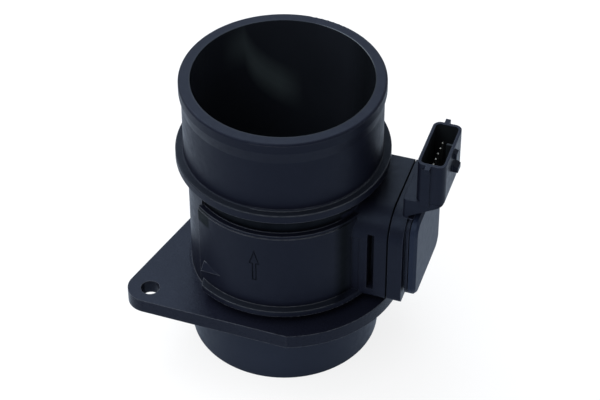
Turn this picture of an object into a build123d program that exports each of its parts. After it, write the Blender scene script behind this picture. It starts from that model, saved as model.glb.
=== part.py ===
from build123d import *
import os
from math import acos, atan2, cos, degrees, hypot, radians, sin, sqrt

# Mass airflow sensor for an engine's intake: a moulded tube with a screw flange, and a
# plug-in measuring module on its side. Millimetres. +Z is the tube's axis, from the inlet
# spigot to the hose spigot, and the origin is the centre of the inlet spigot's end face.
# +X points out of the module's cover, so every piece of the module is placed along X.

os.makedirs("parts", exist_ok=True)

# Tube, from the inlet end up. Every radius follows the body's.
body_r = 33.0
bore_wall = 2.0
spigot_proud = 0.7
panel_proud = 1.4
groove_deep = 0.8
ledge_proud = 4.0
collar_proud = 4.0
hose_proud = 1.2
lip_proud = 2.0
flange_out = 10.0
bore_r = body_r - bore_wall
spigot_r = body_r + spigot_proud
panel_r = body_r + panel_proud
groove_r = body_r - groove_deep
ledge_r = body_r + ledge_proud
collar_r = body_r + collar_proud
hose_r = body_r + hose_proud
lip_r = body_r + lip_proud
flange_r = body_r + flange_out
flange_z = 24.8
flange_t = 5.4
ledge_z = 33.8
ledge_t = 2.3
panel_top = 68.6
panel_step = 1.2
panel_step_in = 0.35
collar_z = 77.2
collar_t = 3.3
collar_round = 0.3
lip_h = 4.0
lip_blend = 4.5
lip_round = 0.8
tube_h = 109.7
edge_round = 0.6
root_round = 1.2
hose_root_round = 0.5
nearby = 0.01

# The raised panel, the ledge and the groove run from the module box round to this angle
panel_end = 129.5
ledge_taper = 7.0
groove_short = 1.0

# Flange: two screw ears at the ends of one straight side
ear_r = 7.6
screw_hole_r = 3.3
screw_pitch = 81.3
ear_side_in = 4.65
front_side_in = 2.7
hole_to_ear_side = 8.25
hole_to_front_side = 7.1
ear_side_angle = 166.3
ear_side = flange_r - ear_side_in
front_side = flange_r - front_side_in

# Module box on the tube's side
box_half = 17.1
box_z = 34.5
box_top = 70.9
box_x = 42.4
box_corner = 10.3
box_back_corner = 0.4
box_foot_round = 1.5
box_step_x = 32.6
box_step = 0.4
box_wall = 2.6
box_floor_x = 39.0
slot_x = 35.4
slot_w = 2.4
slot_z = 38.3
slot_top = 63.1
slot_depth = 5.5

# Window in the tube's wall and the finger that goes through it
window_half = 6.3
window_z = 42.6
window_h = 20.8
finger_gap = 0.5
finger_tip_x = -6.0
finger_round = 1.5
channel_w = 5.2
channel_wall = 1.6
channel_roof = 2.7
channel_in_x = -0.4
channel_back_x = 15.0
channel_drop = 10.0
channel_bend = 3.0
outlet_r = 2.2
lid_t = 1.2
lid_lap = 1.2
fit_gap = 0.1

# Carrier, cover and seals, outwards along X
seal_t = 1.2
seal_w = 2.4
plate_x = 47.8
neck_in = 0.9
joint_w = 0.35
joint_in = 0.7
ring_x = 48.6
cover_x = 49.8
cover_face_x = 52.4
cover_half = 15.7
cover_z = 36.2
cover_top = 69.5
cover_round = 4.8
cover_edge = 0.9
bead_t = 0.4
bead_w = 1.4
pocket_half = 13.2
pocket_z = 38.8
pocket_top = 66.4
pocket_floor_x = 43.4
pocket_round = 3.0

# Neck and plug socket
neck_half = 11.7
neck_x = 45.9
neck_top = 77.8
neck_foot = 70.6
socket_x = 49.9
socket_w = 9.9
socket_len = 23.0
socket_top = 94.5
socket_round = 2.6
socket_wall = 1.0
socket_floor = 78.6
socket_rise = 0.6
socket_heel = 2.0
rib_x = 51.7
rib_w = 3.2
rib_proud = 0.5
nub_w = 1.7
nub_h = 1.9
nub_proud = 2.1
key_y = 1.9
key_t = 0.9
key_w = 2.2
key_drop = 0.8
nose_w = 3.4
nose_h = 3.0
nose_proud = 2.0
nose_rise = 0.42
guide_w = 2.6
guide_h = 2.6
guide_proud = 1.2
guide_rise = 0.755

# Electronics
spreader_t = 1.2
board_t = 1.0
board_half = 11.0
board_z = 40.5
board_top = 63.5
chip_side = 7.0
chip_t = 1.4
chip_z = 52.0
amp_w = 4.0
amp_len = 5.0
amp_t = 1.2
capacitor_r = 2.0
capacitor_h = 2.6
small_part_z = 44.5
small_part_y = 6.5
leg_n = 7
leg_pitch = 0.9
leg_w = 0.4
leg_out = 0.8
leg_t = 0.3
pin_n = 5
pin_pitch = 2.85
pin_t = 0.64
pin_rise = 0.76
pin_off = 0.5
pin_bend = 0.8
pin_run_z = 76.2
pin_foot = 3.2
pin_joggle = 1.4
strip_t = 0.8
strip_w = 3.6
strip_tip_x = 5.0
film_inset = 0.3
film_side = 3.0
film_t = 0.35
thermistor_r = 0.7
thermistor_z = 50.0
thermistor_turn = 180.0
lead_r = 0.2
lead_gap = 0.7

# Inlet grid
grid_seat_z = 8.0
grid_seat_step = 1.0
grid_seat_r = bore_r + grid_seat_step
grid_t = 5.0
grid_gap = 0.1
grid_rim = 2.0
grid_pitch = 5.8
grid_bar = 0.8
ring_t = 1.4
ring_w = 2.2
ring_bite = 0.5
ring_split = 10.0

# Flow arrow, engraved outline
arrow_x = 0.84
arrow_tip_z = 61.5
arrow_len = 13.7
arrow_head = 6.3
arrow_half = 1.85
arrow_shaft = 0.78
arrow_line = 0.35
arrow_deep = 0.25

# Triangular lug beside the panel's end: its three corners by height, angle and proudness
lug_low_z = 42.0
lug_low_angle = -124.0
lug_low_proud = 2.1
lug_right_z = 43.6
lug_right_angle = -108.8
lug_right_proud = -0.2
lug_up_z = 45.4
lug_up_angle = -124.6
lug_up_proud = 0.3
lug_sink = 2.6


def polar(radius, angle):
    """Point at a radius and an angle in degrees about the tube's axis."""
    return (radius * cos(radians(angle)), radius * sin(radians(angle)))


def ring_sector(inner, outer, start, end):
    """Ring sector about the tube's axis, between two angles in degrees."""
    with BuildSketch(mode=Mode.PRIVATE) as sector:
        with BuildLine():
            rim = CenterArc((0, 0), outer, start, end - start)
            root = CenterArc((0, 0), inner, start, end - start)
            Line(rim @ 0, root @ 0)
            Line(rim @ 1, root @ 1)
        make_face()
    return sector.sketch


def block_outline(half, low, high, top_round, foot_round, back_round=None):
    """Upright rectangle in a plane across X. Its top corner at the back can have its own round."""
    with BuildSketch(mode=Mode.PRIVATE) as outline:
        with Locations((0, (low + high) / 2)):
            Rectangle(2 * half, high - low)
        top = outline.vertices().group_by(Axis.Y)[-1].sort_by(Axis.X)
        if back_round is None:
            fillet(top, top_round)
        else:
            fillet(top[0], top_round)
            fillet(outline.vertices().group_by(Axis.Y)[-1].sort_by(Axis.X)[-1], back_round)
        fillet(outline.vertices().group_by(Axis.Y)[0], foot_round)
    return outline.sketch


def profile_corners(profile, radius, height):
    """The corner of a revolved profile at a radius and a height."""
    return [v for v in profile.vertices() if hypot(v.X - radius, v.Y - height) < nearby]


def across(x):
    """Sketch plane across X: its own x runs along +Y and its own y along +Z."""
    return Plane(origin=(x, 0, 0), x_dir=(0, 1, 0), z_dir=(1, 0, 0))


# Flange outline, in a plane whose own x points out through the straight side with the ears
flange_plane = Plane(
    origin=(0, 0, flange_z),
    x_dir=(cos(radians(ear_side_angle)), sin(radians(ear_side_angle)), 0),
    z_dir=(0, 0, 1),
)
screw_x = ear_side - hole_to_ear_side
screw_y = screw_pitch / 2
screw_far = hypot(screw_x, screw_y)
side_angle = degrees(atan2(screw_y, screw_x)) + degrees(
    acos((front_side - hole_to_front_side) / screw_far)
)
side_out = (cos(radians(side_angle)), sin(radians(side_angle)))
ear_tip_y = (front_side - ear_side * side_out[0]) / side_out[1]
half_chord = sqrt(flange_r**2 - front_side**2)
side_end_x = front_side * side_out[0] - half_chord * side_out[1]
side_end_y = front_side * side_out[1] + half_chord * side_out[0]
far_x = -2 * flange_r
far_y = (front_side - far_x * side_out[0]) / side_out[1]

# Lug's corners, and the plane of its facet with its own x along the lower edge
lug_corners = [
    Vector(*polar(panel_r + proud, angle), height)
    for proud, angle, height in (
        (lug_low_proud, lug_low_angle, lug_low_z),
        (lug_right_proud, lug_right_angle, lug_right_z),
        (lug_up_proud, lug_up_angle, lug_up_z),
    )
]
lug_edge = lug_corners[1] - lug_corners[0]
lug_plane = Plane(
    origin=lug_corners[0],
    x_dir=lug_edge,
    z_dir=lug_edge.cross(lug_corners[2] - lug_corners[0]),
)
lug_right = lug_plane.to_local_coords(lug_corners[1])
lug_up = lug_plane.to_local_coords(lug_corners[2])

# Tube housing: one moulding
window_mid = window_z + window_h / 2
box_root_x = sqrt(panel_r**2 - box_half**2)
with BuildPart() as tube_housing:
    with BuildSketch(Plane.XZ) as tube_profile:
        with BuildLine():
            Polyline(
                (bore_r, 0),
                (spigot_r, 0),
                (spigot_r, flange_z + flange_t / 2),
                (body_r, flange_z + flange_t / 2),
                (body_r, collar_z),
                (collar_r, collar_z),
                (collar_r, collar_z + collar_t),
                (hose_r, collar_z + collar_t),
                (hose_r, tube_h - lip_h - lip_blend),
                (lip_r, tube_h - lip_h),
                (lip_r, tube_h),
                (bore_r, tube_h),
                close=True,
            )
        make_face()
        fillet(profile_corners(tube_profile, lip_r, tube_h), lip_round)
        fillet(profile_corners(tube_profile, collar_r, collar_z), collar_round)
        fillet(profile_corners(tube_profile, collar_r, collar_z + collar_t), collar_round)
        fillet(profile_corners(tube_profile, hose_r, collar_z + collar_t), hose_root_round)
    revolve(axis=Axis.Z)

    # Panel and ledge, alike on both sides of the module box
    for side in (-1, 1):
        with BuildSketch(Plane.XY.offset(ledge_z)):
            add(ring_sector(groove_r, panel_r, 0, side * panel_end))
        extrude(amount=panel_top - ledge_z)
        with BuildSketch(Plane.XY.offset(ledge_z)):
            add(ring_sector(groove_r, ledge_r, 0, side * panel_end))
            with BuildLine():
                Polyline(
                    polar(body_r, side * panel_end),
                    polar(ledge_r, side * (panel_end - ledge_taper)),
                    polar(ledge_r + ledge_r, side * (panel_end - ledge_taper)),
                    polar(ledge_r + ledge_r, side * (panel_end + ledge_taper)),
                    close=True,
                )
            make_face(mode=Mode.SUBTRACT)
        extrude(amount=ledge_t)
        with BuildSketch(Plane.XY.offset(panel_top)):
            add(ring_sector(groove_r, collar_r, 0, side * (panel_end - groove_short)))
        extrude(amount=collar_z - panel_top, mode=Mode.SUBTRACT)
        with BuildSketch(Plane.XY.offset(panel_top - panel_step)):
            add(ring_sector(panel_r - panel_step_in, collar_r, 0, side * (panel_end + groove_short)))
        extrude(amount=panel_step, mode=Mode.SUBTRACT)

    # Triangular lug: a flat facet through three points, carried into the wall
    with BuildSketch(lug_plane):
        with BuildLine():
            Polyline(
                (0, 0),
                (lug_right.X, lug_right.Y),
                (lug_up.X, lug_up.Y),
                close=True,
            )
        make_face()
    extrude(amount=-lug_sink)

    # Flange with its two ears
    with BuildSketch(flange_plane) as flange_outline:
        Circle(flange_r)
        with BuildLine():
            Polyline(
                (ear_side, ear_tip_y),
                (far_x, far_y),
                (far_x, -far_y),
                (ear_side, -ear_tip_y),
                close=True,
            )
        make_face(mode=Mode.INTERSECT)
        with BuildSketch(flange_plane, mode=Mode.PRIVATE) as ears:
            with BuildLine():
                Polyline(
                    (ear_side, ear_tip_y),
                    (side_end_x, side_end_y),
                    (side_end_x, -side_end_y),
                    (ear_side, -ear_tip_y),
                    close=True,
                )
            make_face()
            fillet(ears.vertices().group_by(Axis.X)[-1], ear_r)
        add(ears.sketch_local)
        with Locations((screw_x, screw_y), (screw_x, -screw_y)):
            Circle(screw_hole_r, mode=Mode.SUBTRACT)
        Circle(bore_r, mode=Mode.SUBTRACT)
    extrude(amount=flange_t)

    # Module box
    with BuildSketch(across(0)):
        add(block_outline(box_half, box_z, box_top, box_corner, box_foot_round, box_back_corner))
    extrude(amount=box_x)
    for side in (-1, 1):
        with BuildSketch(Plane.XY.offset(ledge_z + ledge_t)):
            with Locations(((box_root_x + box_step_x) / 2, side * box_half)):
                Rectangle(box_step_x - box_root_x, 2 * box_step)
        extrude(amount=box_top - box_corner - ledge_z - ledge_t, mode=Mode.SUBTRACT)
        with BuildSketch(Plane.XZ.offset(-side * box_half)):
            with Locations((slot_x + slot_w / 2, (slot_z + slot_top) / 2)):
                Rectangle(slot_w, slot_top - slot_z)
        extrude(amount=side * slot_depth, mode=Mode.SUBTRACT)
    with BuildSketch(across(box_floor_x)):
        add(
            block_outline(
                box_half - box_wall,
                box_z + box_wall,
                box_top - box_wall,
                box_corner - box_wall,
                pocket_round,
                pocket_round,
            )
        )
    extrude(amount=box_x - box_floor_x, mode=Mode.SUBTRACT)

    # Bore through everything, and the finger's window
    with BuildSketch() as bore_outline:
        Circle(bore_r)
    extrude(amount=tube_h, mode=Mode.SUBTRACT)
    with BuildSketch():
        Circle(grid_seat_r)
    extrude(amount=grid_seat_z, mode=Mode.SUBTRACT)
    with BuildSketch(Plane.XY.offset(grid_seat_z - grid_t - ring_t)):
        Circle(grid_seat_r + ring_bite)
    extrude(amount=ring_t, mode=Mode.SUBTRACT)
    with BuildSketch(across(0)):
        with Locations((0, window_mid)):
            RectangleRounded(2 * window_half, window_h, finger_round)
    extrude(amount=box_x, mode=Mode.SUBTRACT)

    # Flow arrow on the panel, pointing to the hose spigot
    with BuildSketch(Plane.XZ.offset(panel_r - arrow_deep)):
        with BuildLine():
            Polyline(
                (arrow_x, arrow_tip_z),
                (arrow_x + arrow_half, arrow_tip_z - arrow_head),
                (arrow_x + arrow_shaft, arrow_tip_z - arrow_head),
                (arrow_x + arrow_shaft, arrow_tip_z - arrow_len),
                (arrow_x - arrow_shaft, arrow_tip_z - arrow_len),
                (arrow_x - arrow_shaft, arrow_tip_z - arrow_head),
                (arrow_x - arrow_half, arrow_tip_z - arrow_head),
                close=True,
            )
        make_face()
        offset(amount=-arrow_line, mode=Mode.SUBTRACT)
    extrude(amount=2 * arrow_deep, mode=Mode.SUBTRACT)
tube_housing.part.label = "tube_housing"
export_step(tube_housing.part, "parts/tube_housing.step")

# Measuring finger and bypass channel, worked out from the window
finger_half = window_half - finger_gap
finger_low = window_z + finger_gap
finger_high = window_z + window_h - finger_gap
plug_x = box_floor_x + seal_t
channel_top_z = finger_high - channel_roof - channel_w / 2
channel_y = lid_t - finger_half
channel_depth = 2 * finger_half - lid_t - channel_wall
lid_low = finger_low + finger_round
lid_high = finger_high - finger_round
lid_start = channel_in_x - channel_w / 2 - lid_lap
lid_end = channel_back_x + channel_w / 2 + lid_lap
socket_mid_x = socket_x + socket_w / 2
socket_out_x = socket_x + socket_w
socket_depth = socket_top - socket_floor
pin_x = socket_mid_x - pin_off
pin_top = socket_floor + pin_rise * socket_depth
heel_z = neck_foot + socket_rise * (socket_out_x - plate_x)
pin_wall_x = (neck_x + plate_x) / 2
board_x = pocket_floor_x + spreader_t
chip_x = board_x + board_t
pin_foot_x = chip_x + pin_t / 2


def pin_profile():
    """One terminal in the XZ plane: foot on the board, through the neck, up into the socket."""
    with BuildSketch(Plane.XZ, mode=Mode.PRIVATE) as profile:
        with BuildLine() as route:
            FilletPolyline(
                (pin_foot_x, board_top - pin_foot),
                (pin_foot_x, board_top),
                (pin_wall_x, board_top + pin_joggle),
                (pin_wall_x, pin_run_z),
                (pin_x, pin_run_z),
                (pin_x, pin_top),
                radius=pin_bend,
            )
        trace(line_width=pin_t)
    return profile.sketch_local


def channel_outline():
    """The bypass in the XZ plane: in at the bottom, along the roof and down to the outlet."""
    with BuildSketch(Plane.XZ, mode=Mode.PRIVATE) as outline:
        with BuildLine():
            FilletPolyline(
                (channel_in_x, finger_low - fit_gap),
                (channel_in_x, channel_top_z),
                (channel_back_x, channel_top_z),
                (channel_back_x, channel_top_z - channel_drop),
                radius=channel_bend,
            )
        trace(line_width=channel_w)
    return outline.sketch_local


pin_places = [pin_pitch * (n - (pin_n - 1) / 2) for n in range(pin_n)]

# Module carrier: plate, plug, measuring finger, neck and plug socket in one moulding
with BuildPart() as module_carrier:
    with BuildSketch(across(box_x)):
        add(
            block_outline(
                box_half - joint_in,
                box_z + joint_in,
                box_top - joint_in,
                box_corner - joint_in,
                box_foot_round,
                box_back_corner,
            )
        )
    extrude(amount=joint_w)
    with BuildSketch(across(box_x + joint_w)):
        add(block_outline(box_half, box_z, box_top, box_corner, box_foot_round, box_back_corner))
    extrude(amount=plate_x - box_x - joint_w)
    with BuildSketch(across(plate_x)):
        add(
            block_outline(
                cover_half - neck_in,
                cover_z + neck_in,
                cover_top - neck_in,
                cover_round,
                cover_round,
            )
        )
    extrude(amount=cover_x - plate_x)
    with BuildSketch(across(ring_x)):
        add(block_outline(cover_half, cover_z, cover_top, cover_round, cover_round))
    extrude(amount=cover_x - ring_x - joint_w)
    with BuildSketch(across(plug_x)):
        add(
            block_outline(
                box_half - box_wall - fit_gap,
                box_z + box_wall + fit_gap,
                box_top - box_wall - fit_gap,
                box_corner - box_wall,
                pocket_round,
                pocket_round,
            )
        )
    extrude(amount=box_x - plug_x)
    with BuildSketch(across(finger_tip_x)):
        with Locations((0, window_mid)):
            RectangleRounded(2 * finger_half, finger_high - finger_low, finger_round)
    extrude(amount=plug_x - finger_tip_x)
    fillet(module_carrier.faces().sort_by(Axis.X)[0].edges(), finger_round / 2)

    # Neck and socket, cut to the sloping underside with its round heel
    with BuildSketch(Plane.XY.offset(box_top - box_foot_round)) as neck:
        with Locations(((neck_x + socket_out_x) / 2, 0)):
            Rectangle(socket_out_x - neck_x, 2 * neck_half)
        fillet(neck.vertices().group_by(Axis.X)[-1], socket_round)
        fillet(neck.vertices().group_by(Axis.X)[0], root_round)
    extrude(amount=neck_top - box_top + box_foot_round)
    with BuildSketch(Plane.XY.offset(neck_top)):
        with Locations((socket_mid_x, 0)):
            RectangleRounded(socket_w, socket_len, socket_round)
    extrude(amount=socket_top - neck_top)
    with BuildSketch(Plane.XZ):
        with BuildLine():
            heel = FilletPolyline(
                (plate_x, neck_foot),
                (socket_out_x, heel_z),
                (socket_out_x, heel_z + socket_heel),
                radius=socket_heel,
            )
            Polyline(
                heel @ 1,
                (socket_out_x + socket_w, heel_z + socket_heel),
                (socket_out_x + socket_w, neck_foot - socket_w),
                (cover_x, neck_foot - socket_w),
                (cover_x, cover_top + fit_gap),
                (plate_x, cover_top + fit_gap),
                heel @ 0,
            )
        make_face()
    extrude(amount=2 * neck_half, both=True, mode=Mode.SUBTRACT)

    # End ribs with their nubs, latch nose and guide on the outer wall
    for side in (-1, 1):
        with BuildSketch(Plane.XY.offset(neck_top - root_round)):
            with Locations((rib_x + rib_w / 2, side * (socket_len / 2 + rib_proud / 2 - edge_round / 2))):
                Rectangle(rib_w, rib_proud + edge_round)
        extrude(amount=socket_top - nub_h - neck_top + root_round)
        with BuildSketch(Plane.XY.offset(socket_top - nub_h)):
            with Locations((rib_x + rib_w - nub_w / 2, side * (socket_len / 2 + nub_proud / 2 - edge_round / 2))):
                Rectangle(nub_w, nub_proud + edge_round)
        extrude(amount=nub_h)
    for low, width, height, proud in (
        (socket_floor + nose_rise * socket_depth, nose_w, nose_h, nose_proud),
        (socket_floor + guide_rise * socket_depth, guide_w, guide_h, guide_proud),
    ):
        with BuildSketch(Plane.XZ) as tooth:
            with BuildLine():
                Polyline(
                    (socket_out_x - edge_round, low),
                    (socket_out_x + proud, low),
                    (socket_out_x + proud, low + height - proud / 2),
                    (socket_out_x, low + height),
                    (socket_out_x - edge_round, low + height),
                    close=True,
                )
            make_face()
        extrude(amount=width / 2, both=True)
    with BuildSketch(Plane.XY.offset(socket_floor)):
        with Locations((socket_mid_x, 0)):
            RectangleRounded(
                socket_w - 2 * socket_wall, socket_len - 2 * socket_wall, socket_round - socket_wall
            )
    extrude(amount=socket_top - socket_floor, mode=Mode.SUBTRACT)
    with BuildSketch(Plane.XY.offset(socket_floor - root_round)):
        with Locations((socket_out_x - socket_wall - key_w / 2 + edge_round / 2, key_y)):
            Rectangle(key_w + edge_round, key_t)
    extrude(amount=socket_top - key_drop - socket_floor + root_round)

    # Electronics pocket and the groove for the cover's sealing bead
    with BuildSketch(across(pocket_floor_x)):
        add(block_outline(pocket_half, pocket_z, pocket_top, pocket_round, pocket_round))
    extrude(amount=cover_x - pocket_floor_x, mode=Mode.SUBTRACT)
    with BuildSketch(across(cover_x - bead_t)):
        add(
            block_outline(
                pocket_half + bead_w,
                pocket_z - bead_w,
                pocket_top + bead_w,
                pocket_round + bead_w,
                pocket_round + bead_w,
            )
        )
        add(
            block_outline(
                pocket_half + bead_w / 2,
                pocket_z - bead_w / 2,
                pocket_top + bead_w / 2,
                pocket_round + bead_w / 2,
                pocket_round + bead_w / 2,
            ),
            mode=Mode.SUBTRACT,
        )
    extrude(amount=bead_t, mode=Mode.SUBTRACT)

    # Bypass channel, its outlet, the lid's recess and the strip's slot
    with BuildSketch(Plane.XZ.offset(-channel_y)):
        add(channel_outline())
    extrude(amount=-channel_depth, mode=Mode.SUBTRACT)
    with BuildSketch(Plane.XZ):
        with Locations((channel_back_x, channel_top_z - channel_drop + outlet_r)):
            Circle(outlet_r)
    extrude(amount=-2 * finger_half, mode=Mode.SUBTRACT)
    with BuildSketch(Plane.XZ.offset(finger_half)):
        with Locations(((lid_start + lid_end) / 2, (lid_low + lid_high) / 2)):
            RectangleRounded(lid_end - lid_start, lid_high - lid_low, finger_round)
    extrude(amount=-lid_t, mode=Mode.SUBTRACT)
    with BuildSketch(across(strip_tip_x)):
        with Locations((0, channel_top_z)):
            Rectangle(strip_t, strip_w)
    extrude(amount=pocket_floor_x - strip_tip_x, mode=Mode.SUBTRACT)

    for place in pin_places:
        with BuildSketch(Plane.XZ.offset(-place)):
            add(pin_profile())
        extrude(amount=pin_t / 2, both=True, mode=Mode.SUBTRACT)
module_carrier.part.label = "module_carrier"
export_step(module_carrier.part, "parts/module_carrier.step")

# Terminals: bent strips of plated brass, moulded into the neck
for number, place in enumerate(pin_places, start=1):
    with BuildPart() as terminal:
        with BuildSketch(Plane.XZ.offset(-place)):
            add(pin_profile())
        extrude(amount=pin_t / 2, both=True)
        chamfer(terminal.faces().sort_by(Axis.Z)[-1].edges(), pin_t / 4)
    terminal.part.label = f"terminal_{number}"
    export_step(terminal.part, f"parts/terminal_{number}.step")

# Lid of the bypass channel, flush in the finger's side
with BuildPart() as channel_cover:
    with BuildSketch(Plane.XZ.offset(finger_half)):
        with Locations(((lid_start + lid_end) / 2, (lid_low + lid_high) / 2)):
            RectangleRounded(
                lid_end - lid_start - 2 * fit_gap, lid_high - lid_low - 2 * fit_gap, finger_round
            )
    extrude(amount=-lid_t)
channel_cover.part.label = "channel_cover"
export_step(channel_cover.part, "parts/channel_cover.step")

# Rubber gasket round the window, between the box's floor and the carrier's plug
with BuildPart() as plug_seal:
    with BuildSketch(across(box_floor_x)):
        with Locations((0, window_mid)):
            RectangleRounded(
                2 * (window_half + finger_gap + seal_w),
                window_h + 2 * (finger_gap + seal_w),
                finger_round + seal_w,
            )
            RectangleRounded(
                2 * (window_half + finger_gap), window_h + 2 * finger_gap, finger_round, mode=Mode.SUBTRACT
            )
    extrude(amount=seal_t)
plug_seal.part.label = "plug_seal"
export_step(plug_seal.part, "parts/plug_seal.step")

# Sealing bead under the cover
with BuildPart() as cover_seal:
    with BuildSketch(across(cover_x - bead_t)):
        add(
            block_outline(
                pocket_half + bead_w,
                pocket_z - bead_w,
                pocket_top + bead_w,
                pocket_round + bead_w,
                pocket_round + bead_w,
            )
        )
        add(
            block_outline(
                pocket_half + bead_w / 2,
                pocket_z - bead_w / 2,
                pocket_top + bead_w / 2,
                pocket_round + bead_w / 2,
                pocket_round + bead_w / 2,
            ),
            mode=Mode.SUBTRACT,
        )
    extrude(amount=bead_t)
cover_seal.part.label = "cover_seal"
export_step(cover_seal.part, "parts/cover_seal.step")

# Cover over the electronics
with BuildPart() as module_cover:
    with BuildSketch(across(cover_x)):
        add(block_outline(cover_half, cover_z, cover_top, cover_round, cover_round))
    extrude(amount=cover_face_x - cover_x)
    chamfer(module_cover.faces().sort_by(Axis.X)[-1].edges(), cover_edge)
    with BuildSketch(across(cover_x)):
        add(block_outline(pocket_half, pocket_z, pocket_top, pocket_round, pocket_round))
    extrude(amount=(cover_face_x - cover_x) / 2, mode=Mode.SUBTRACT)
module_cover.part.label = "module_cover"
export_step(module_cover.part, "parts/module_cover.step")

# Heat spreader and the board bonded to it
with BuildPart() as heat_spreader:
    with BuildSketch(across(pocket_floor_x)):
        add(block_outline(board_half, board_z, board_top, edge_round, edge_round))
    extrude(amount=spreader_t)
heat_spreader.part.label = "heat_spreader"
export_step(heat_spreader.part, "parts/heat_spreader.step")

with BuildPart() as circuit_board:
    with BuildSketch(across(board_x)):
        add(block_outline(board_half, board_z, board_top, edge_round, edge_round))
    extrude(amount=board_t)
circuit_board.part.label = "circuit_board"
export_step(circuit_board.part, "parts/circuit_board.step")

# Processor in a flat package with legs along two sides
with BuildPart() as processor_chip:
    with BuildSketch(across(chip_x)):
        with Locations((0, chip_z)):
            Rectangle(chip_side, chip_side)
    extrude(amount=chip_t)
    chamfer(processor_chip.faces().sort_by(Axis.X)[-1].edges(), leg_t)
    with BuildSketch(across(chip_x)):
        with Locations((0, chip_z)):
            with GridLocations(chip_side + leg_out, leg_pitch, 2, leg_n):
                Rectangle(leg_out, leg_w)
    extrude(amount=leg_t)
processor_chip.part.label = "processor_chip"
export_step(processor_chip.part, "parts/processor_chip.step")

# Amplifier beside it
with BuildPart() as amplifier_chip:
    with BuildSketch(across(chip_x)):
        with Locations((small_part_y, small_part_z)):
            Rectangle(amp_len, amp_w)
    extrude(amount=amp_t)
    chamfer(amplifier_chip.faces().sort_by(Axis.X)[-1].edges(), leg_t)
amplifier_chip.part.label = "amplifier_chip"
export_step(amplifier_chip.part, "parts/amplifier_chip.step")

# Supply capacitor: a can with a rolled rim
with BuildPart() as supply_capacitor:
    with BuildSketch(across(chip_x)):
        with Locations((-small_part_y, small_part_z)):
            Circle(capacitor_r)
    extrude(amount=capacitor_h)
    fillet(supply_capacitor.faces().sort_by(Axis.X)[-1].edges(), leg_w)
supply_capacitor.part.label = "supply_capacitor"
export_step(supply_capacitor.part, "parts/supply_capacitor.step")

# Ceramic strip from the electronics into the channel, and the hot film on its tip
with BuildPart() as sensor_strip:
    with BuildSketch(across(strip_tip_x)):
        with Locations((0, channel_top_z)):
            Rectangle(strip_t, strip_w)
    extrude(amount=pocket_floor_x - strip_tip_x)
sensor_strip.part.label = "sensor_strip"
export_step(sensor_strip.part, "parts/sensor_strip.step")

with BuildPart() as hot_film:
    with BuildSketch(Plane.XZ.offset(strip_t / 2)):
        with Locations((strip_tip_x + film_inset + film_side / 2, channel_top_z)):
            Rectangle(film_side, film_side)
    extrude(amount=film_t)
hot_film.part.label = "hot_film"
export_step(hot_film.part, "parts/hot_film.step")

# Air temperature thermistor: a glass bead on two leads from the channel's wall. The bead is
# turned so that its seam is on the side away from the leads.
with BuildPart() as air_temperature_bead:
    with BuildSketch(across(channel_in_x)):
        with Locations((0, thermistor_z + lead_gap / 2), (0, thermistor_z - lead_gap / 2)):
            Circle(lead_r)
    extrude(amount=channel_w / 2)
    with Locations((channel_in_x, 0, thermistor_z)):
        Sphere(thermistor_r, rotation=(0, 0, thermistor_turn))
air_temperature_bead.part.label = "air_temperature_bead"
export_step(air_temperature_bead.part, "parts/air_temperature_bead.step")

# Inlet grid: a square lattice in a rim, against the shoulder in the spigot
grid_r = grid_seat_r - grid_gap
grid_rows = 2 * round(grid_r / grid_pitch) + 1
with BuildPart() as inlet_grid:
    with BuildSketch(Plane.XY.offset(grid_seat_z - grid_t)):
        Circle(grid_r)
        with GridLocations(grid_pitch, grid_pitch, grid_rows, grid_rows):
            Rectangle(grid_pitch - grid_bar, grid_pitch - grid_bar, mode=Mode.SUBTRACT)
        add(ring_sector(grid_r - grid_rim, grid_r, 0, 180))
        add(ring_sector(grid_r - grid_rim, grid_r, 180, 360))
    extrude(amount=grid_t)
inlet_grid.part.label = "inlet_grid"
export_step(inlet_grid.part, "parts/inlet_grid.step")

# Split ring that snaps into the spigot's groove under the grid
with BuildPart() as grid_ring:
    with BuildSketch(Plane.XY.offset(grid_seat_z - grid_t - ring_t)):
        add(
            ring_sector(
                grid_seat_r + ring_bite - grid_gap - ring_w,
                grid_seat_r + ring_bite - grid_gap,
                ring_split,
                360,
            )
        )
    extrude(amount=ring_t)
grid_ring.part.label = "grid_ring"
export_step(grid_ring.part, "parts/grid_ring.step")
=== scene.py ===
import bpy
from math import cos, radians, sin
from mathutils import Matrix, Vector


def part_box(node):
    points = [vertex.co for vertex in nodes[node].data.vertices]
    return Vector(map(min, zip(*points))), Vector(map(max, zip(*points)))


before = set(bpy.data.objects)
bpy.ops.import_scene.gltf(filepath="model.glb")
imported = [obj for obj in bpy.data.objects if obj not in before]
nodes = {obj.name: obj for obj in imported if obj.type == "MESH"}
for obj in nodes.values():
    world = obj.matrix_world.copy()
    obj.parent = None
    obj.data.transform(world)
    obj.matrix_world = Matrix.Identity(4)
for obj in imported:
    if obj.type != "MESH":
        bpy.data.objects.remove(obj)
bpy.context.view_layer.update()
bpy.ops.object.select_all(action="DESELECT")

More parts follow.
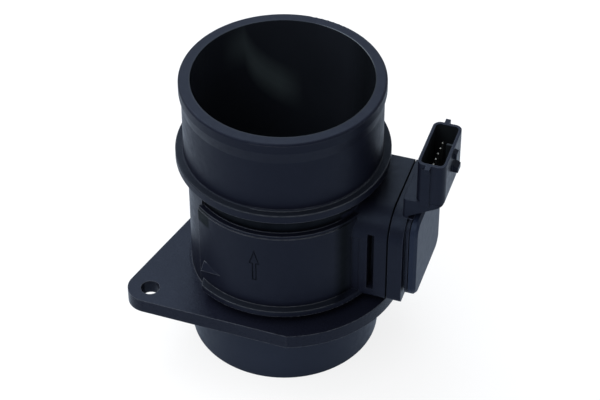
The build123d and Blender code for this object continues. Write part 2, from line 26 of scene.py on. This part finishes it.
# Camera: a long lens that looks down into the tube from the side of the flow arrow.
# Its place and directions are given square in front of the tube, and are then turned about
# the tube's axis, which brings the module to the right and a little forward.
camera_turn = radians(18.89)
camera_place = Vector((0.0, -0.558449, 0.557643))
camera_right = Vector((0.99991830, -0.01248107, -0.00275985))
camera_up = Vector((0.01040452, 0.66927373, 0.74294308))
camera_look = Vector((0.00742563, 0.74291110, -0.66934891))
turn = Matrix.Rotation(camera_turn, 3, "Z")
right, up, back = turn @ camera_right, turn @ camera_up, -(turn @ camera_look)
camera_data = bpy.data.cameras.new("camera")
camera_data.sensor_width = 36.0
camera_data.lens = 129.0
camera_data.clip_start = 0.01
camera_data.clip_end = 10.0
camera = bpy.data.objects.new("camera", camera_data)
place = turn @ camera_place
camera.matrix_world = Matrix(
    (
        (right.x, up.x, back.x, place.x),
        (right.y, up.y, back.y, place.y),
        (right.z, up.z, back.z, place.z),
        (0.0, 0.0, 0.0, 1.0),
    )
)
bpy.context.scene.collection.objects.link(camera)
bpy.context.scene.camera = camera

# Studio: a plain white floor under soft lamps. The floor is white to the camera and pale
# sky blue to gloss, less the shadow that it takes from the part.
bpy.context.scene.view_settings.view_transform = "Standard"


def white_rays(tree, rays):
    """1 where the camera, gloss or clear glass sees this surface, and 0 for its light."""
    seen = rays.outputs["Is Camera Ray"]
    for kind in ("Is Glossy Ray", "Is Transmission Ray"):
        either = tree.nodes.new("ShaderNodeMath")
        either.operation = "MAXIMUM"
        tree.links.new(seen, either.inputs[0])
        tree.links.new(rays.outputs[kind], either.inputs[1])
        seen = either.outputs[0]
    return seen


floor_half = 3.0
floor_glow_share = 0.82
floor_white = (1.0, 1.0, 1.0, 1.0)
floor_sky_blue = (0.66, 0.80, 1.0, 1.0)
floor_grey = (0.86, 0.86, 0.87, 1.0)
bpy.ops.mesh.primitive_plane_add(size=2 * floor_half, location=(0.0, 0.0, 0.0))
floor = bpy.context.object
floor.name = "floor"
floor_material = bpy.data.materials.new("floor_white")
floor_material.use_nodes = True
tree = floor_material.node_tree
tree.nodes.clear()
floor_out = tree.nodes.new("ShaderNodeOutputMaterial")
floor_mix = tree.nodes.new("ShaderNodeMixShader")
floor_paint = tree.nodes.new("ShaderNodeBsdfDiffuse")
floor_paint.inputs["Color"].default_value = floor_grey
floor_glow = tree.nodes.new("ShaderNodeEmission")
floor_glow.inputs["Strength"].default_value = 1.0
floor_rays = tree.nodes.new("ShaderNodeLightPath")
floor_tone = tree.nodes.new("ShaderNodeMix")
floor_tone.data_type = "RGBA"
floor_tone.inputs["A"].default_value = floor_sky_blue
floor_tone.inputs["B"].default_value = floor_white
tree.links.new(floor_rays.outputs["Is Camera Ray"], floor_tone.inputs["Factor"])
tree.links.new(floor_tone.outputs["Result"], floor_glow.inputs["Color"])
floor_seen = tree.nodes.new("ShaderNodeMath")
floor_seen.operation = "MULTIPLY"
floor_seen.inputs[1].default_value = floor_glow_share
tree.links.new(white_rays(tree, floor_rays), floor_seen.inputs[0])
tree.links.new(floor_seen.outputs[0], floor_mix.inputs["Fac"])
tree.links.new(floor_paint.outputs[0], floor_mix.inputs[1])
tree.links.new(floor_glow.outputs[0], floor_mix.inputs[2])
tree.links.new(floor_mix.outputs[0], floor_out.inputs["Surface"])
floor.data.materials.append(floor_material)

daylight = (0.93, 0.965, 1.0)
world_strength = 0.57
world = bpy.data.worlds.new("studio")
bpy.context.scene.world = world
world.use_nodes = True
tree = world.node_tree
tree.nodes.clear()
world_out = tree.nodes.new("ShaderNodeOutputWorld")
world_soft = tree.nodes.new("ShaderNodeBackground")
world_soft.inputs["Color"].default_value = (*daylight, 1.0)
world_soft.inputs["Strength"].default_value = world_strength
tree.links.new(world_soft.outputs[0], world_out.inputs["Surface"])

# Lamps: four square windows, with azimuth and elevation about the tube's axis, power and
# colour. Three stand behind and to the left, and the fourth, in front on the left, reaches
# down the bore.
blue_sky = (0.70, 0.84, 1.0)
window_side = 0.9
window_distance = 1.25
windows_centre = Vector((0.0, 0.0, 0.05))
for lamp_name, azimuth, elevation, power, colour in (
    ("window_behind", 118.0, 44.0, 5.2, blue_sky),
    ("window_high", 140.0, 68.0, 9.0, daylight),
    ("window_left", 172.0, 42.0, 8.0, daylight),
    ("window_front", -115.0, 52.0, 7.5, daylight),
):
    around, height = radians(azimuth), radians(elevation)
    lamp_data = bpy.data.lights.new(lamp_name, "AREA")
    lamp_data.shape = "SQUARE"
    lamp_data.size = window_side
    lamp_data.energy = power
    lamp_data.color = colour
    lamp = bpy.data.objects.new(lamp_name, lamp_data)
    aim = Vector((cos(around) * cos(height), sin(around) * cos(height), sin(height)))
    lamp.location = windows_centre + window_distance * aim
    lamp.rotation_euler = aim.to_track_quat("Z", "Y").to_euler()
    bpy.context.scene.collection.objects.link(lamp)

# Tube housing: glass-filled nylon, moulded in one piece in a spark-eroded steel tool.
# The surface is black with a blue cast, satin and faintly pebbled. Its edges are paler,
# partly from rubbing and partly as painted highlight lines.
# The same group serves every other moulded or metal surface with its own values.
surface = bpy.data.node_groups.new("worn_and_glint_surface", "ShaderNodeTree")
for name, kind, value in (
    ("Vector", "NodeSocketVector", (0.0, 0.0, 0.0)),
    ("Dark", "NodeSocketColor", (0.01, 0.01, 0.01, 1.0)),
    ("Light", "NodeSocketColor", (0.02, 0.02, 0.02, 1.0)),
    ("Worn", "NodeSocketColor", (0.05, 0.05, 0.05, 1.0)),
    ("Blotch scale", "NodeSocketFloat", 60.0),
    ("Grain scale", "NodeSocketFloat", 2500.0),
    ("Grain depth", "NodeSocketFloat", 0.00002),
    ("Smooth", "NodeSocketFloat", 0.35),
    ("Rough", "NodeSocketFloat", 0.5),
    ("Edge radius", "NodeSocketFloat", 0.0004),
    ("Wear", "NodeSocketFloat", 0.5),
):
    socket = surface.interface.new_socket(name, in_out="INPUT", socket_type=kind)
    socket.default_value = value
for name, kind in (
    ("Color", "NodeSocketColor"),
    ("Roughness", "NodeSocketFloat"),
    ("Normal", "NodeSocketVector"),
):
    surface.interface.new_socket(name, in_out="OUTPUT", socket_type=kind)
scuff_scale = 420.0
scuff_low = 0.3
scuff_high = 0.7
bevel_starts = 0.995
bevel_is_edge = 0.85
made = surface.nodes.new
join = surface.links.new
given = made("NodeGroupInput")
put_out = made("NodeGroupOutput")
blotch = made("ShaderNodeTexNoise")
grain = made("ShaderNodeTexNoise")
scuff = made("ShaderNodeTexNoise")
blotch.inputs["Detail"].default_value = 6.0
grain.inputs["Detail"].default_value = 3.0
scuff.inputs["Detail"].default_value = 8.0
scuff.inputs["Scale"].default_value = scuff_scale
for noise in (blotch, grain, scuff):
    join(given.outputs["Vector"], noise.inputs["Vector"])
join(given.outputs["Blotch scale"], blotch.inputs["Scale"])
join(given.outputs["Grain scale"], grain.inputs["Scale"])
paint = made("ShaderNodeMix")
paint.data_type = "RGBA"
join(blotch.outputs["Fac"], paint.inputs["Factor"])
join(given.outputs["Dark"], paint.inputs["A"])
join(given.outputs["Light"], paint.inputs["B"])
rounded = made("ShaderNodeBevel")
rounded.samples = 4
join(given.outputs["Edge radius"], rounded.inputs["Radius"])
flat = made("ShaderNodeNewGeometry")
meet = made("ShaderNodeVectorMath")
meet.operation = "DOT_PRODUCT"
join(rounded.outputs["Normal"], meet.inputs[0])
join(flat.outputs["Normal"], meet.inputs[1])
edge = made("ShaderNodeMapRange")
edge.inputs["From Min"].default_value = bevel_starts
edge.inputs["From Max"].default_value = bevel_is_edge
join(meet.outputs["Value"], edge.inputs["Value"])
patchy = made("ShaderNodeMath")
patchy.operation = "MULTIPLY"
join(edge.outputs["Result"], patchy.inputs[0])
join(scuff.outputs["Fac"], patchy.inputs[1])
amount = made("ShaderNodeMath")
amount.operation = "MULTIPLY"
amount.use_clamp = True
join(patchy.outputs[0], amount.inputs[0])
join(given.outputs["Wear"], amount.inputs[1])
# Pale edge colour: wear, and on the housing also painted highlight lines.
rubbed_and_glint = made("ShaderNodeMix")
rubbed_and_glint.data_type = "RGBA"
join(amount.outputs[0], rubbed_and_glint.inputs["Factor"])
join(paint.outputs["Result"], rubbed_and_glint.inputs["A"])
join(given.outputs["Worn"], rubbed_and_glint.inputs["B"])
sheen = made("ShaderNodeMapRange")
sheen.inputs["From Min"].default_value = scuff_low
sheen.inputs["From Max"].default_value = scuff_high
join(scuff.outputs["Fac"], sheen.inputs["Value"])
join(given.outputs["Smooth"], sheen.inputs["To Min"])
join(given.outputs["Rough"], sheen.inputs["To Max"])
pebble = made("ShaderNodeBump")
join(given.outputs["Grain depth"], pebble.inputs["Distance"])
join(grain.outputs["Fac"], pebble.inputs["Height"])
join(rounded.outputs["Normal"], pebble.inputs["Normal"])
join(rubbed_and_glint.outputs["Result"], put_out.inputs["Color"])
join(sheen.outputs["Result"], put_out.inputs["Roughness"])
join(pebble.outputs["Normal"], put_out.inputs["Normal"])


def opaque(value):
    """A number as it is, and a colour with full alpha."""
    return value if isinstance(value, float) else (*value, 1.0)


def finish_material(name, metallic, specular, tint=(1.0, 1.0, 1.0), **values):
    """A material from the worn and glint surface group, with this finish's own values."""
    material = bpy.data.materials.new(name)
    material.use_nodes = True
    links = material.node_tree.links
    shader = material.node_tree.nodes["Principled BSDF"]
    shader.inputs["Metallic"].default_value = metallic
    shader.inputs["Specular IOR Level"].default_value = specular
    shader.inputs["Specular Tint"].default_value = opaque(tint)
    coordinates = material.node_tree.nodes.new("ShaderNodeTexCoord")
    group = material.node_tree.nodes.new("ShaderNodeGroup")
    group.node_tree = surface
    for key, value in values.items():
        group.inputs[key.replace("_", " ")].default_value = opaque(value)
    links.new(coordinates.outputs["Object"], group.inputs["Vector"])
    links.new(group.outputs["Color"], shader.inputs["Base Color"])
    links.new(group.outputs["Roughness"], shader.inputs["Roughness"])
    links.new(group.outputs["Normal"], shader.inputs["Normal"])
    return material


def dress(material, *names):
    """Gives these CAD nodes one material and no other."""
    for name in names:
        mesh = nodes[name].data
        mesh.materials.clear()
        mesh.materials.append(material)


def times(tree, first, second):
    """The product of two masks."""
    both = tree.nodes.new("ShaderNodeMath")
    both.operation = "MULTIPLY"
    tree.links.new(first, both.inputs[0])
    tree.links.new(second, both.inputs[1])
    return both.outputs[0]


def band(tree, value, low, high, fade):
    """1 where the value lies between low and high, and 0 past a soft edge on each side."""
    sides = []
    for start, end in ((low - fade, low), (high + fade, high)):
        side = tree.nodes.new("ShaderNodeMapRange")
        side.inputs["From Min"].default_value = start
        side.inputs["From Max"].default_value = end
        tree.links.new(value, side.inputs["Value"])
        sides.append(side.outputs["Result"])
    return times(tree, *sides)


def whereabouts(material):
    """Sockets that give a surface point's x, y and z, and its radius from the tube's axis."""
    tree = material.node_tree
    place = tree.nodes.new("ShaderNodeTexCoord")
    split = tree.nodes.new("ShaderNodeSeparateXYZ")
    across = tree.nodes.new("ShaderNodeVectorMath")
    across.operation = "MULTIPLY"
    across.inputs[1].default_value = (1.0, 1.0, 0.0)
    reach = tree.nodes.new("ShaderNodeVectorMath")
    reach.operation = "LENGTH"
    tree.links.new(place.outputs["Object"], split.inputs[0])
    tree.links.new(place.outputs["Object"], across.inputs[0])
    tree.links.new(across.outputs["Vector"], reach.inputs[0])
    return {
        "x": split.outputs["X"], "y": split.outputs["Y"], "z": split.outputs["Z"],
        "radius": reach.outputs["Value"],
    }


def within(tree, where, limits):
    """A mask that is 1 inside all of these limits: axis, low, high and width of the fade."""
    mask = None
    for axis, low, high, fade in limits:
        inside = band(tree, where[axis], low, high, fade)
        mask = inside if mask is None else times(tree, mask, inside)
    return mask


def zone(material, where, limits, **changes):
    """Within these limits, the surface group takes these values in place of its own."""
    tree = material.node_tree
    group = tree.nodes["Group"]
    mask = within(tree, where, limits)
    for key, there in changes.items():
        socket = group.inputs[key.replace("_", " ")]
        step = tree.nodes.new("ShaderNodeMix")
        if not isinstance(there, float):
            step.data_type = "RGBA"
        tree.links.new(mask, step.inputs["Factor"])
        step.inputs["B"].default_value = opaque(there)
        if socket.is_linked:
            tree.links.new(socket.links[0].from_socket, step.inputs["A"])
        else:
            step.inputs["A"].default_value = socket.default_value
        tree.links.new(step.outputs["Result"], socket)


# The zones below are bounded by the housing's own radii and heights, a hair or a skin off
# its surfaces. Their edges fade out softly, and far lies past the whole part.
bore_r = 0.0310
groove_r = 0.0322
body_r = 0.0330
panel_r = 0.0344
lip_r = 0.0350
collar_r = 0.0370
flange_low = 0.0248
flange_top = 0.0302
ledge_top = 0.0361
panel_top = 0.0686
collar_low = 0.0772
collar_top = 0.0805
lip_side_top = 0.1080
tube_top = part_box("tube_housing")[1][2]
box_low = 0.0345
box_top = 0.0709
box_face = 0.0424
hair = 0.0001
skin = 0.0002
soft = 0.0003
far = 0.12
blue_cast = (0.60, 0.76, 1.0)
# Its pale worn colour and full wear paint highlight lines along the edges as well as wear.
housing = finish_material(
    "housing_black_nylon", 0.0, 0.09, blue_cast,
    Dark=(0.0040, 0.0047, 0.0097), Light=(0.0070, 0.0080, 0.0148), Worn=(0.15, 0.16, 0.18),
    Blotch_scale=45.0, Grain_scale=2600.0, Grain_depth=0.00003,
    Smooth=0.34, Rough=0.46, Edge_radius=0.0004, Wear=1.0,
)
where = whereabouts(housing)
tree = housing.node_tree

# The bore is polished by its steel core. Its wall is painted paler than the outside, as
# painted light, and darker towards the module, as painted shade. Its rim is sharp and
# unrubbed, and glossier at the back on the module's side.
in_bore = ("radius", 0.0, bore_r + skin, soft)
painted_shade_towards_module = ("x", 0.0220, far, 0.0080)
mouth_wall = ("radius", 0.0, groove_r + soft, soft)
mouth_top = ("z", lip_side_top, far, 0.0005)
# Painted light: the wall of the bore is painted paler.
zone(
    housing, where, [in_bore],
    Dark=(0.0085, 0.0100, 0.0135), Light=(0.0130, 0.0152, 0.0205), Smooth=0.16, Rough=0.24,
)
# Painted shade: the bore is painted darker towards the module.
zone(
    housing, where, [in_bore, painted_shade_towards_module],
    Dark=(0.0040, 0.0048, 0.0062), Light=(0.0062, 0.0074, 0.0095),
)
zone(housing, where, [mouth_wall, mouth_top], Wear=0.0)
rim_inside = ("radius", 0.0, bore_r + hair, soft)
rim_top = ("z", tube_top - 0.0005, far, soft)
rim_right = ("x", 0.0080, 0.0230, 0.0070)
rim_back = ("y", 0.0180, far, 0.0080)
rim_roughness = 0.14
shader = tree.nodes["Principled BSDF"]
shader.inputs["Coat Roughness"].default_value = rim_roughness
rim = within(tree, where, [rim_inside, rim_top, rim_right, rim_back])
tree.links.new(rim, shader.inputs["Coat Weight"])

# A pale streak on the far wall of the bore, across from the camera, is a painted reflection
# of light. It hangs along a line that falls, steeply at first, from the left to the right.
painted_glint_left = -0.0215
painted_glint_right = -0.0030
painted_glint_low = 0.0810
painted_glint_high = 0.1040
painted_glint_line = tree.nodes.new("ShaderNodeFloatCurve")
painted_glint_points = painted_glint_line.mapping.curves[0].points
painted_glint_points[0].location = (0.0, 1.0)
painted_glint_points[1].location = (1.0, 0.0)
for along, up_wall in ((0.15, 0.60), (0.30, 0.40), (0.50, 0.22)):
    painted_glint_points.new(along, up_wall)
painted_glint_line.mapping.update()
painted_glint_place = tree.nodes.new("ShaderNodeMapRange")
painted_glint_place.inputs["From Min"].default_value = painted_glint_left
painted_glint_place.inputs["From Max"].default_value = painted_glint_right
tree.links.new(where["x"], painted_glint_place.inputs["Value"])
tree.links.new(painted_glint_place.outputs["Result"], painted_glint_line.inputs["Value"])
painted_glint_level = tree.nodes.new("ShaderNodeMapRange")
painted_glint_level.inputs["To Min"].default_value = painted_glint_low
painted_glint_level.inputs["To Max"].default_value = painted_glint_high
tree.links.new(painted_glint_line.outputs["Value"], painted_glint_level.inputs["Value"])
painted_glint_gap = tree.nodes.new("ShaderNodeMath")
painted_glint_gap.operation = "SUBTRACT"
tree.links.new(where["z"], painted_glint_gap.inputs[0])
tree.links.new(painted_glint_level.outputs["Result"], painted_glint_gap.inputs[1])
where["above painted glint"] = painted_glint_gap.outputs[0]
far_wall = ("y", 0.010, far, 0.001)
painted_glint_middle = ("x", -0.0190, -0.0110, 0.0080)
painted_glint_streak = ("above painted glint", -0.0045, -0.0010, 0.0080)
# Paints the reflection's pale streak into the bore's colour.
zone(
    housing, where, [in_bore, far_wall, painted_glint_middle, painted_glint_streak],
    Dark=(0.0300, 0.0385, 0.0420), Light=(0.0420, 0.0530, 0.0580),
)

# The flange keeps the fine texture of its eroded tool, and is a little glossier.
flange_span = ("z", flange_low - skin, flange_top + skin, skin)
off_body = ("radius", 0.0340, far, 0.0008)
zone(
    housing, where, [flange_span, off_body],
    Dark=(0.0042, 0.0049, 0.0098), Light=(0.0078, 0.0088, 0.0158), Smooth=0.24, Rough=0.34,
    Grain_depth=0.00006, Grain_scale=1300.0,
)

# The side of the hose spigot that faces the plug is dulled by the hose clip.
hose_wall = ("radius", body_r, lip_r + 0.0010, soft)
plug_side = ("x", 0.0315, far, 0.0030)
hose_span = ("z", collar_top + 0.0010, lip_side_top, 0.0005)
zone(housing, where, [hose_wall, plug_side, hose_span], Smooth=0.42, Rough=0.50)

# Painted shade: the groove under the collar is painted near black for the shadow there.
groove_span = ("z", panel_top + 0.0006, collar_low - soft, soft)
groove_wall = ("radius", groove_r - 0.0008, groove_r + soft, soft)
zone(
    housing, where, [groove_span, groove_wall],
    Dark=(0.0002, 0.0002, 0.0004), Light=(0.0004, 0.0005, 0.0008), Rough=0.56,
)

# Painted light: the lower spigot and the top of the module box are painted paler.
spigot_span = ("z", 0.0, flange_low - 0.0004, skin)
box_side = ("x", 0.0360, far, 0.0010)
box_lid = ("z", box_top - soft, box_top + soft, skin)
zone(
    housing, where, [spigot_span],
    Dark=(0.0100, 0.0125, 0.0215), Light=(0.0160, 0.0198, 0.0330),
)
# Painted light on the top of the module box.
zone(
    housing, where, [box_side, box_lid],
    Dark=(0.0085, 0.0100, 0.0160), Light=(0.0130, 0.0150, 0.0230),
)

# The tops of the ledge and the collar are matt, and the collar's edges are painted pale,
# partly as wear and partly as painted highlight lines.
ledge_skin = ("z", ledge_top - 0.0005, ledge_top + skin, skin)
collar_skin = ("z", collar_top - 0.0004, collar_top + skin, skin)
collar_span = ("z", collar_low - 0.0004, collar_top + 0.0007, skin)
off_panel = ("radius", panel_r + hair, collar_r + 0.0010, soft)
for top_skin in (ledge_skin, collar_skin):
    zone(
        housing, where, [top_skin, off_panel],
        Dark=(0.0056, 0.0067, 0.0104), Light=(0.0090, 0.0106, 0.0156), Smooth=0.5, Rough=0.62,
    )
zone(housing, where, [collar_span], Wear=1.9)

# A matt patch at the panel's upper left corner.
front_half = ("y", -far, 0.0, 0.001)
patch_across = ("x", -0.0232, -0.0172, 0.0008)
patch_up = ("z", 0.0630, 0.0678, 0.0010)
panel_wall = ("radius", 0.0337, 0.0360, soft)
zone(
    housing, where, [patch_across, front_half, patch_up, panel_wall],
    Dark=(0.0040, 0.0054, 0.0062), Light=(0.0090, 0.0112, 0.0125), Smooth=0.62, Rough=0.80,
)

# Little rubs the module box. Its corner with the panel and its joint with the carrier are
# painted near black as painted shade.
joint_painted_shade = {
    "Dark": (0.0002, 0.0002, 0.0004), "Light": (0.0003, 0.0003, 0.0005),
    "Worn": (0.0003, 0.0003, 0.0005), "Smooth": 0.7, "Rough": 0.8,
}
box_walls = ("x", 0.0268, far, 0.0006)
box_span = ("z", box_low, box_top - 0.0004, soft)
corner_across = ("x", 0.0277, 0.0284, 0.0024)
corner_up = ("z", 0.0365, 0.0680, 0.0010)
joint_face = ("x", box_face - skin, far, hair)
joint_up = ("z", 0.0310, 0.0800, 0.0005)
zone(
    housing, where, [box_walls, box_span],
    Dark=(0.0046, 0.0054, 0.0108), Light=(0.0080, 0.0090, 0.0160), Wear=0.1,
)
# Painted shade in the corner between the panel and the box.
zone(
    housing, where, [corner_across, corner_up],
    Dark=(0.0006, 0.0008, 0.0012), Light=(0.0010, 0.0012, 0.0018), Smooth=0.56, Rough=0.60,
)
# Painted shade along the joint with the carrier.
zone(housing, where, [joint_face, joint_up], **joint_painted_shade)

# The engraved line of the arrow is darker along its edges.
arrow_across = ("x", -0.0020, 0.0040, 0.0004)
arrow_up = ("z", 0.0470, 0.0624, 0.0004)
zone(
    housing, where, [arrow_across, arrow_up, front_half],
    Worn=(0.0006, 0.0008, 0.0014), Wear=1.6,
)
dress(housing, "tube_housing")

# Module carrier with its finger, neck and socket, and the lid of its air channel:
# the same nylon from a polished tool, so it is a little smoother.
carrier = finish_material(
    "carrier_black_nylon", 0.0, 0.12, blue_cast,
    Dark=(0.0034, 0.0040, 0.0088), Light=(0.0060, 0.0068, 0.0132), Worn=(0.070, 0.080, 0.112),
    Blotch_scale=70.0, Grain_scale=3200.0, Grain_depth=0.00002,
    Smooth=0.32, Rough=0.44, Edge_radius=0.0004, Wear=0.8,
)
where = whereabouts(carrier)

# Inside the socket the wall is dull and painted paler as painted light, and little rubs the
# socket's sides.
socket_across = ("x", 0.05085, 0.05885, hair)
socket_along = ("y", -0.01055, 0.01055, hair)
socket_deep = ("z", 0.0780, 0.0941, hair)
socket_span = ("z", 0.0700, 0.0934, skin)
zone(
    carrier, where, [socket_across, socket_along, socket_deep],
    Dark=(0.0075, 0.0088, 0.0100), Light=(0.0110, 0.0128, 0.0145), Smooth=0.50, Rough=0.64,
    Wear=0.0,
)
zone(carrier, where, [socket_span], Wear=0.15)

# The joint with the housing's box has the same painted shade on this side.
joint_edge = ("x", 0.0400, box_face + soft, hair)
zone(carrier, where, [joint_edge], **joint_painted_shade)
dress(carrier, "module_carrier", "channel_cover")

# Module cover: a pressed-down moulded lid with a chamfered rim, bonded over the board.
# It is the same nylon with a little more blue in it, and is more evenly matt.
cover = finish_material(
    "cover_black_nylon", 0.0, 0.14, blue_cast,
    Dark=(0.0056, 0.0084, 0.0190), Light=(0.0100, 0.0140, 0.0280), Worn=(0.060, 0.068, 0.085),
    Blotch_scale=90.0, Grain_scale=2400.0, Grain_depth=0.00003,
    Smooth=0.42, Rough=0.48, Edge_radius=0.0003, Wear=0.4,
)
dress(cover, "module_cover")

# Inlet grid and its ring: a moulded lattice that straightens the air, held up in the
# spigot by a split ring of spring steel.
grid = finish_material(
    "grid_black_nylon", 0.0, 0.5,
    Dark=(0.0100, 0.0110, 0.0130), Light=(0.0160, 0.0175, 0.0200), Worn=(0.060, 0.064, 0.070),
    Blotch_scale=80.0, Grain_scale=3000.0, Grain_depth=0.00002,
    Smooth=0.36, Rough=0.52, Edge_radius=0.00015, Wear=0.3,
)
dress(grid, "inlet_grid")
ring = finish_material(
    "ring_spring_steel", 1.0, 0.5,
    Dark=(0.42, 0.43, 0.45), Light=(0.60, 0.61, 0.63), Worn=(0.75, 0.76, 0.78),
    Blotch_scale=150.0, Grain_scale=4000.0, Grain_depth=0.00001,
    Smooth=0.25, Rough=0.42, Edge_radius=0.00015, Wear=0.4,
)
dress(ring, "grid_ring")

# Terminals: strip brass, stamped, bent and tin plated before the nylon is moulded round it.
# The blades have gone dull, less so at their coined tips.
terminal_names = [name for name in nodes if name.startswith("terminal_")]
terminal = finish_material(
    "terminal_tin_plate", 1.0, 0.5,
    Dark=(0.085, 0.088, 0.090), Light=(0.130, 0.134, 0.134), Worn=(0.150, 0.140, 0.110),
    Blotch_scale=600.0, Grain_scale=6000.0, Grain_depth=0.000005,
    Smooth=0.40, Rough=0.55, Edge_radius=0.00008, Wear=0.4,
)
tip_height = 0.0004
tips_end = max(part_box(name)[1][2] for name in terminal_names)
coined_tips = ("z", tips_end - tip_height, tips_end, hair)
zone(
    terminal, whereabouts(terminal), [coined_tips],
    Dark=(0.11, 0.11, 0.10), Light=(0.17, 0.17, 0.16), Worn=(0.24, 0.23, 0.20),
)
dress(terminal, *terminal_names)

# Seals: a cut gasket of black rubber round the finger, and the grey silicone bead that is
# laid in the carrier's groove under the cover.
for material_name, dark, light, seal in (
    ("gasket_rubber", (0.012, 0.012, 0.013), (0.022, 0.022, 0.024), "plug_seal"),
    ("silicone_bead", (0.100, 0.100, 0.105), (0.150, 0.150, 0.155), "cover_seal"),
):
    rubber = finish_material(
        material_name, 0.0, 0.4,
        Dark=dark, Light=light, Worn=light,
        Blotch_scale=200.0, Grain_scale=5000.0, Grain_depth=0.00002,
        Smooth=0.55, Rough=0.75, Edge_radius=0.0002, Wear=0.0,
    )
    dress(rubber, seal)

# Electronics under the cover: an aluminium spreader, the lacquered board bonded to it,
# two moulded chips and a capacitor can.
for material_name, metallic, dark, light, smooth, rough, names in (
    (
        "spreader_aluminium", 1.0, (0.62, 0.63, 0.65), (0.76, 0.77, 0.79), 0.28, 0.42,
        ("heat_spreader",),
    ),
    (
        "capacitor_aluminium", 1.0, (0.66, 0.67, 0.69), (0.80, 0.81, 0.83), 0.22, 0.34,
        ("supply_capacitor",),
    ),
    (
        "board_lacquer", 0.0, (0.008, 0.060, 0.025), (0.016, 0.110, 0.045), 0.16, 0.30,
        ("circuit_board",),
    ),
    (
        "chip_epoxy", 0.0, (0.016, 0.016, 0.017), (0.030, 0.030, 0.031), 0.50, 0.64,
        ("processor_chip", "amplifier_chip"),
    ),
):
    electronic = finish_material(
        material_name, metallic, 0.5,
        Dark=dark, Light=light, Worn=light,
        Blotch_scale=400.0, Grain_scale=6000.0, Grain_depth=0.00001,
        Smooth=smooth, Rough=rough, Edge_radius=0.0001, Wear=0.3,
    )
    dress(electronic, *names)

# Sensing parts in the air channel: the fired ceramic strip, the glassed hot film on its
# tip, and the glass bead that reads the air's temperature.
for material_name, dark, light, smooth, rough, sensed in (
    (
        "strip_fired_ceramic", (0.68, 0.66, 0.61), (0.82, 0.80, 0.76), 0.45, 0.60,
        "sensor_strip",
    ),
    ("film_glaze", (0.070, 0.055, 0.130), (0.130, 0.105, 0.220), 0.08, 0.18, "hot_film"),
    (
        "bead_dark_glass", (0.055, 0.065, 0.055), (0.095, 0.115, 0.095), 0.05, 0.12,
        "air_temperature_bead",
    ),
):
    sensing = finish_material(
        material_name, 0.0, 0.5,
        Dark=dark, Light=light, Worn=light,
        Blotch_scale=900.0, Grain_scale=8000.0, Grain_depth=0.000005,
        Smooth=smooth, Rough=rough, Edge_radius=0.00005, Wear=0.1,
    )
    dress(sensing, sensed)
